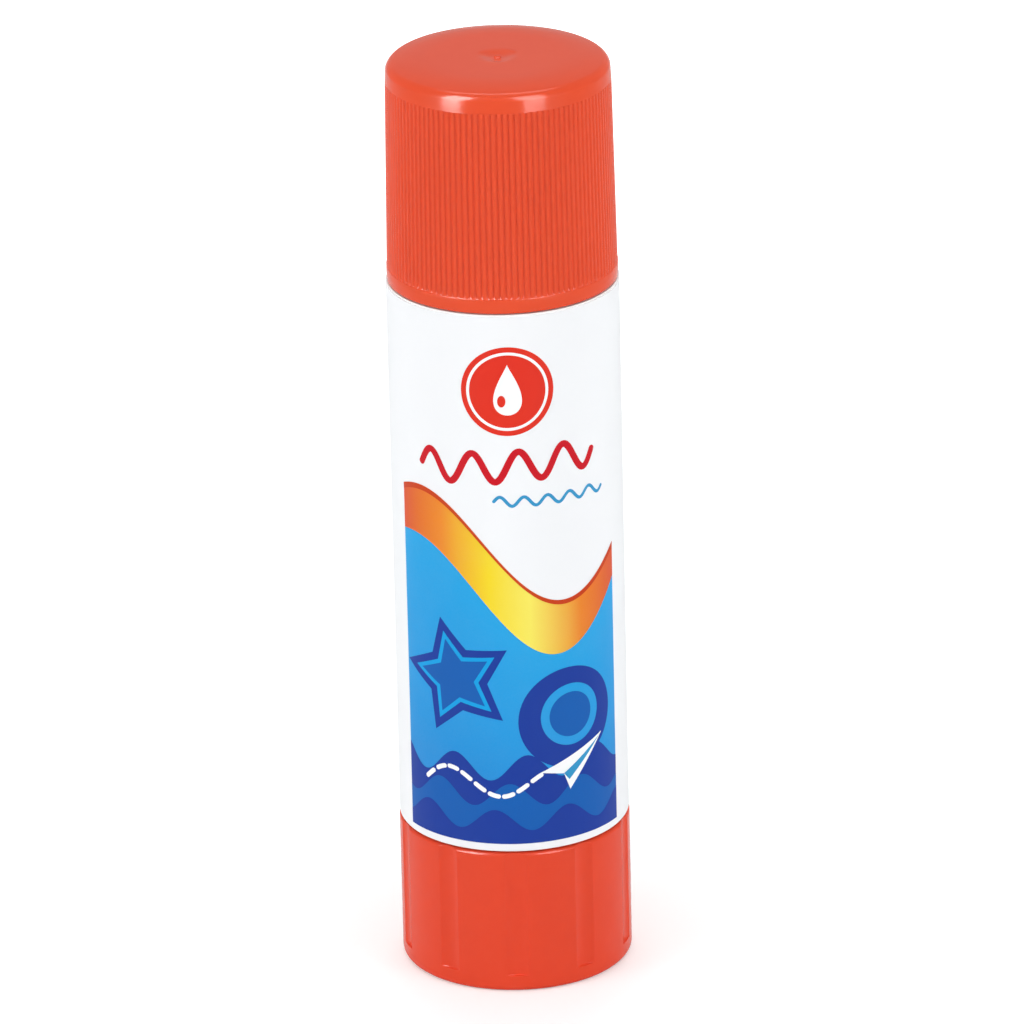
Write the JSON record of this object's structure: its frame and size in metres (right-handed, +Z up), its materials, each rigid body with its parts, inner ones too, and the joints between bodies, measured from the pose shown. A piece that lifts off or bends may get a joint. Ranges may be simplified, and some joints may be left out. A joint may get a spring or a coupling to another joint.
{
  "type": "glue stick",
  "caption": "Twist-up glue stick: a round capped barrel with a knob at its foot that drives a screw and raises the glue.",
  "frame": {"origin": "centre of the foot, on the surface the stick stands on", "axes": "+Z up along the stick from knob to cap, -Y towards the front of the label, +X to the right of the front"},
  "size_m": [0.0206, 0.0206, 0.0842],
  "materials": {
    "cap_red": "moulded polypropylene, smooth shoulder and fine ribs",
    "barrel_white": "moulded polypropylene, satin",
    "label_film": "printed film, glossy",
    "knob_red": "moulded polypropylene, satin",
    "screw_red": "moulded polypropylene, satin",
    "carrier_white": "moulded polyethylene, satin",
    "glue_paste": "solid paste, waxy"
  },
  "bodies": {
    "barrel_body": {"barrel": "barrel_white", "label": "label_film"},
    "knob_body": {"base_knob": "knob_red", "spindle": "screw_red"},
    "carriage": {"elevator": "carrier_white", "glue": "glue_paste"},
    "cap_body": {"cap": "cap_red"}
  },
  "joints": [
    {"name": "knob_turn", "type": "hinge", "parent": "barrel_body", "child": "knob_body", "pos_m": [0, 0, 0], "axis": [0, 0, 1], "range_deg": [0, 2880]},
    {"name": "glue_rise", "type": "slide", "parent": "barrel_body", "child": "carriage", "axis": [0, 0, 1], "range_m": [0, 0.046]},
    {"name": "cap_pull", "type": "slide", "parent": "carriage", "child": "cap_body", "axis": [0, 0, 1], "range_m": [0, 0.035]}
  ],
  "couplings": [
    {"joint": "knob_turn", "follows": "glue_rise", "rad_per_m": 1092.7}
  ]
}
